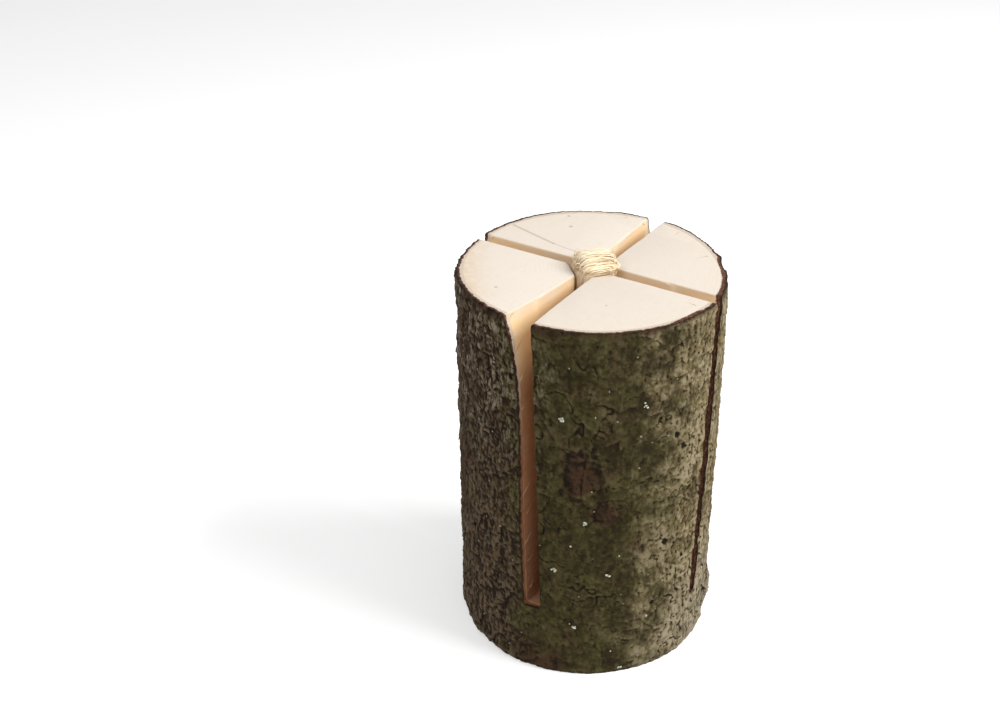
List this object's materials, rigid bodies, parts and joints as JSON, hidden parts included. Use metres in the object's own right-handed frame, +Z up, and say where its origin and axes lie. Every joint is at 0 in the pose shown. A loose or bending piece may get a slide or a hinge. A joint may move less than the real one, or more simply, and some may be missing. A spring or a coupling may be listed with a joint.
{
  "type": "swedish fire log",
  "caption": "Upright round log in its bark, split by two crossing saw cuts from the top nearly to the foot, with a wood-wool wick in the middle, for an outdoor fire.",
  "frame": {"origin": "middle of the foot, on the ground, where the hole's upright axis meets it", "axes": "+Z up along the log; +X along the deeper saw cut and +Y along the other one, away from the side where one wall is broken out at the top"},
  "size_m": [0.2004, 0.1992, 0.3111],
  "materials": {
    "wood": "sawn pale softwood, end grain on top, orange-tan inside the cuts",
    "bark": "rough scaly bark, olive to brown-grey, with lichen and a branch scar",
    "wick": "loose curled wood-wool strands, straw yellow, slightly waxed"
  },
  "bodies": {
    "root": {"wood": "wood", "bark": "bark", "wick": "wick"}
  },
  "joints": []
}
